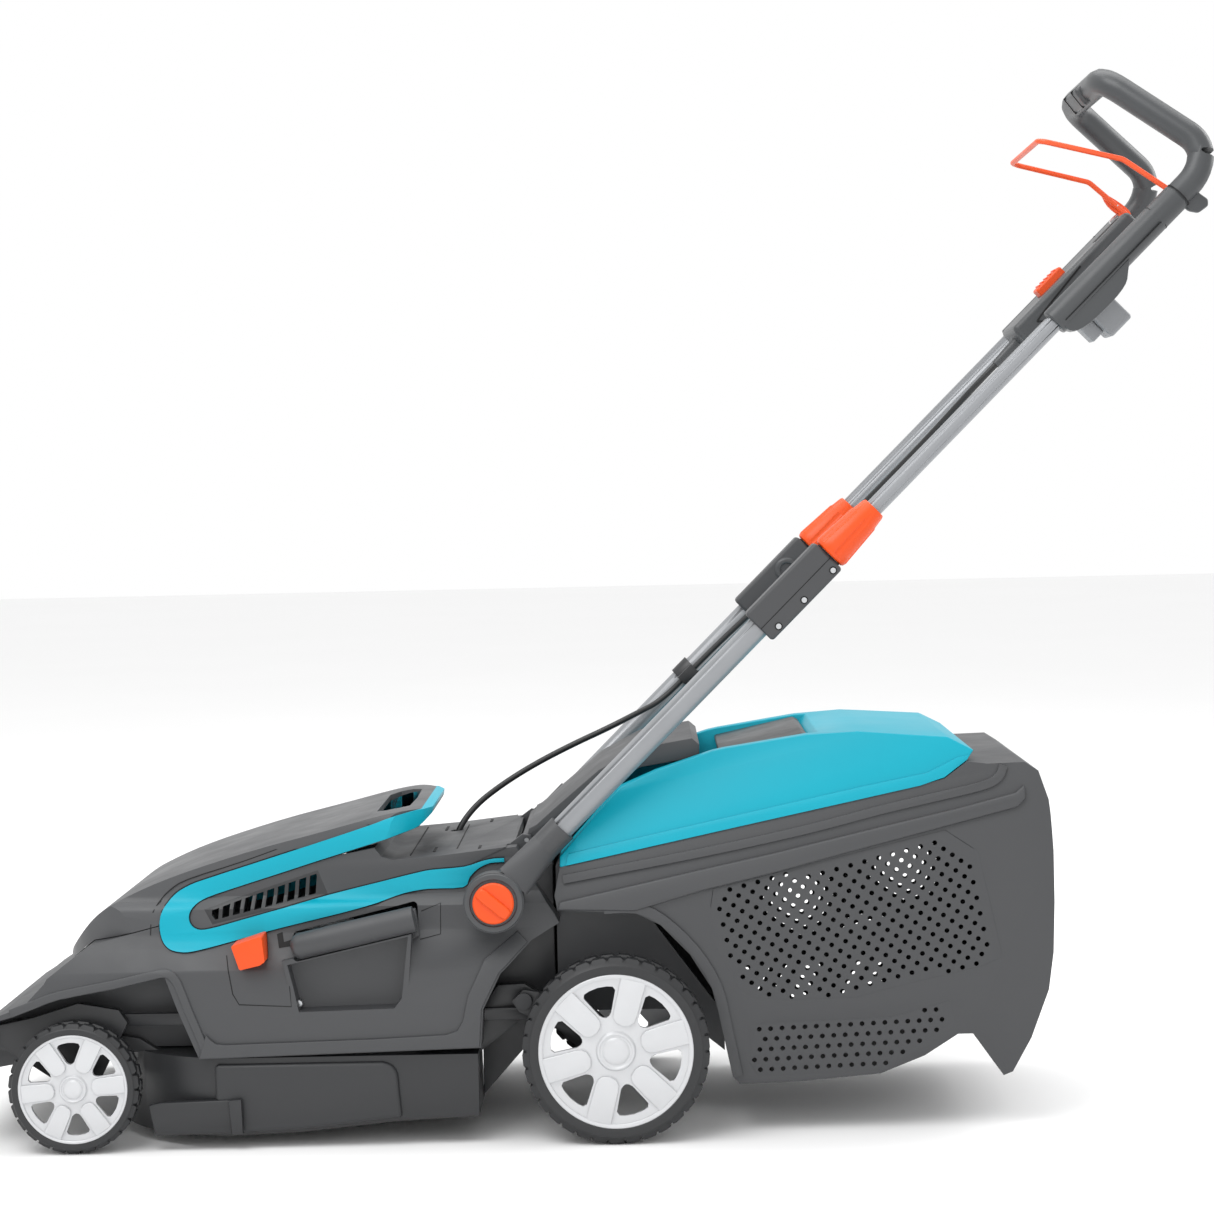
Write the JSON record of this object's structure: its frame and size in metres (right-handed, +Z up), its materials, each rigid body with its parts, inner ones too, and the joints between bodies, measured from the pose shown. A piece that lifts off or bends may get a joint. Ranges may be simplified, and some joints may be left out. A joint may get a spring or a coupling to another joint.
{
  "type": "lawn mower",
  "caption": "Walk-behind electric rotary lawn mower with a rear grass catcher, a folding telescopic handle, a loop grip with a bail and linked cutting height wheels.",
  "frame": {"origin": "on the ground below the middle of the machine's length and width", "axes": "+X rearwards to the operator, +Y to the operator's right, +Z up"},
  "size_m": [1.368, 0.43, 1.1425],
  "materials": {
    "charcoal_body": "fine grained, matte",
    "grey_hood": "fine grained, matte",
    "black_plastic": "smooth, low sheen",
    "turquoise_plastic": "smooth, satin gloss",
    "orange_plastic": "smooth, satin gloss",
    "silver_plastic": "metallic grey, satin",
    "light_grey_plastic": "smooth, matte",
    "grey_loop": "satin, soft to hold",
    "tyre_black": "moulded, low sheen",
    "grey_tube": "powder coated, satin",
    "tube_steel": "powder coated, satin",
    "orange_wire": "coated wire, satin",
    "zinc_steel": "zinc plated",
    "cast_aluminium": "die cast",
    "black_steel": "black electrocoat, satin",
    "blade_steel": "ground at the edges",
    "lead_rubber": "smooth, low sheen"
  },
  "bodies": {
    "deck": {"deck_housing": "black_plastic", "body_shell": "charcoal_body", "hood": "grey_hood", "rear_deck_cover": "charcoal_body", "left_side_trim": "turquoise_plastic", "right_side_trim": "turquoise_plastic", "vent_grilles": "black_plastic", "side_grips": "charcoal_body", "grass_combs": "black_plastic", "discharge_chute": "black_plastic", "motor_housing": "cast_aluminium", "pivot_screws": "black_steel", "flap_hinge_pin": "zinc_steel", "lead_bow": "lead_rubber"},
    "cutter": {"motor_rotor": "zinc_steel", "blade_carrier": "black_plastic", "blade": "blade_steel", "blade_bolt": "zinc_steel"},
    "height_release": {"height_button": "orange_plastic"},
    "front_carriage": {"front_axle": "zinc_steel", "front_swing_arms": "black_plastic"},
    "rear_carriage": {"rear_axle": "zinc_steel", "rear_swing_arms": "black_plastic"},
    "lower_handle": {"left_elbow": "charcoal_body", "right_elbow": "charcoal_body", "left_lower_tube": "grey_tube", "right_lower_tube": "grey_tube", "left_clamp_block": "charcoal_body", "right_clamp_block": "charcoal_body", "cable_clip": "black_plastic", "lead_run": "lead_rubber"},
    "upper_handle": {"left_upper_tube": "tube_steel", "right_upper_tube": "tube_steel", "handle_loop": "grey_loop", "switch_box": "grey_loop", "power_inlet": "light_grey_plastic"},
    "start_key": {"start_button": "orange_plastic"},
    "bail_bar": {"bail": "orange_wire"},
    "flap": {"rear_flap": "charcoal_body"},
    "catcher": {"catcher_shell": "black_plastic", "catcher_lid": "turquoise_plastic", "catcher_grip": "black_plastic"},
    "left_front_wheel": {"left_front_tyre": "tyre_black", "left_front_rim": "silver_plastic", "left_front_hub_cap": "silver_plastic"},
    "left_rear_wheel": {"left_rear_tyre": "tyre_black", "left_rear_rim": "silver_plastic", "left_rear_hub_cap": "silver_plastic"},
    "left_link": {"left_tie_rod": "black_steel"},
    "right_front_wheel": {"right_front_tyre": "tyre_black", "right_front_rim": "silver_plastic", "right_front_hub_cap": "silver_plastic"},
    "right_rear_wheel": {"right_rear_tyre": "tyre_black", "right_rear_rim": "silver_plastic", "right_rear_hub_cap": "silver_plastic"},
    "right_link": {"right_tie_rod": "black_steel"},
    "left_knob": {"left_hinge_knob": "orange_plastic"},
    "left_nut": {"left_lock_nut": "orange_plastic"},
    "right_knob": {"right_hinge_knob": "orange_plastic"},
    "right_nut": {"right_lock_nut": "orange_plastic"}
  },
  "joints": [
    {"name": "cutter_spin", "type": "hinge", "parent": "deck", "child": "cutter", "pos_m": [-0.333, 0, 0.03], "axis": [0, 0, 1], "continuous": true},
    {"name": "height_button_press", "type": "slide", "parent": "deck", "child": "height_release", "axis": [0, 1, 0], "range_m": [0, 0.004], "stiffness_N_per_m": 400, "springref_m": -0.002},
    {"name": "height_swing_front", "type": "hinge", "parent": "deck", "child": "front_carriage", "pos_m": [-0.652, 0, 0.118], "axis": [0, 1, 0], "range_deg": [0, 26.5]},
    {"name": "height_swing_rear", "type": "hinge", "parent": "deck", "child": "rear_carriage", "pos_m": [-0.072, 0, 0.148], "axis": [0, 1, 0], "range_deg": [0, 26.5]},
    {"name": "left_front_wheel_roll", "type": "hinge", "parent": "front_carriage", "child": "left_front_wheel", "pos_m": [-0.553, -0.2, 0.07], "axis": [0, 1, 0], "continuous": true},
    {"name": "left_rear_wheel_roll", "type": "hinge", "parent": "rear_carriage", "child": "left_rear_wheel", "pos_m": [0.027, -0.2, 0.1], "axis": [0, 1, 0], "continuous": true},
    {"name": "left_tie_rod_pin", "type": "hinge", "parent": "front_carriage", "child": "left_link", "pos_m": [-0.592, -0.156, 0.106], "axis": [0, 1, 0], "range_deg": [-26.5, 0]},
    {"name": "right_front_wheel_roll", "type": "hinge", "parent": "front_carriage", "child": "right_front_wheel", "pos_m": [-0.553, 0.2, 0.07], "axis": [0, 1, 0], "continuous": true},
    {"name": "right_rear_wheel_roll", "type": "hinge", "parent": "rear_carriage", "child": "right_rear_wheel", "pos_m": [0.027, 0.2, 0.1], "axis": [0, 1, 0], "continuous": true},
    {"name": "right_tie_rod_pin", "type": "hinge", "parent": "front_carriage", "child": "right_link", "pos_m": [-0.592, 0.156, 0.106], "axis": [0, 1, 0], "range_deg": [-26.5, 0]},
    {"name": "handle_fold", "type": "hinge", "parent": "deck", "child": "lower_handle", "pos_m": [-0.1, 0, 0.26], "axis": [0, -1, 0], "range_deg": [0, 118], "deforming": ["lead_bow"]},
    {"name": "handle_telescope", "type": "slide", "parent": "lower_handle", "child": "upper_handle", "axis": [0.7108, 0, 0.7034], "range_m": [-0.24, 0.03], "deforming": ["lead_run"]},
    {"name": "left_knob_turn", "type": "hinge", "parent": "lower_handle", "child": "left_knob", "pos_m": [-0.1, -0.208, 0.26], "axis": [0, 1, 0], "range_deg": [0, 90]},
    {"name": "left_nut_turn", "type": "hinge", "parent": "lower_handle", "child": "left_nut", "pos_m": [0.29023, -0.162, 0.64616], "axis": [0.7108, 0, 0.7034], "range_deg": [0, 180]},
    {"name": "right_knob_turn", "type": "hinge", "parent": "lower_handle", "child": "right_knob", "pos_m": [-0.1, 0.208, 0.26], "axis": [0, 1, 0], "range_deg": [0, 90]},
    {"name": "right_nut_turn", "type": "hinge", "parent": "lower_handle", "child": "right_nut", "pos_m": [0.29023, 0.162, 0.64616], "axis": [0.7108, 0, 0.7034], "range_deg": [0, 180]},
    {"name": "start_button_press", "type": "slide", "parent": "upper_handle", "child": "start_key", "axis": [0.7034, 0, -0.7108], "range_m": [0, 0.004], "stiffness_N_per_m": 300, "springref_m": -0.003},
    {"name": "bail_pull", "type": "hinge", "parent": "upper_handle", "child": "bail_bar", "pos_m": [0.6435, 0, 1.003], "axis": [0, 1, 0], "range_deg": [0, 26], "stiffness_Nm_per_rad": 0.8, "springref_deg": -17.19},
    {"name": "flap_open", "type": "hinge", "parent": "deck", "child": "flap", "pos_m": [-0.0675, 0, 0.3145], "axis": [0, -1, 0], "range_deg": [0, 55]},
    {"name": "catcher_lift_off", "type": "slide", "parent": "deck", "child": "catcher", "axis": [0.9848, 0, 0.1736], "range_m": [0, 0.25]}
  ],
  "couplings": [
    {"joint": "height_swing_rear", "follows": "height_swing_front", "ratio": 1},
    {"joint": "left_tie_rod_pin", "follows": "height_swing_front", "ratio": -1},
    {"joint": "right_tie_rod_pin", "follows": "height_swing_front", "ratio": -1}
  ]
}
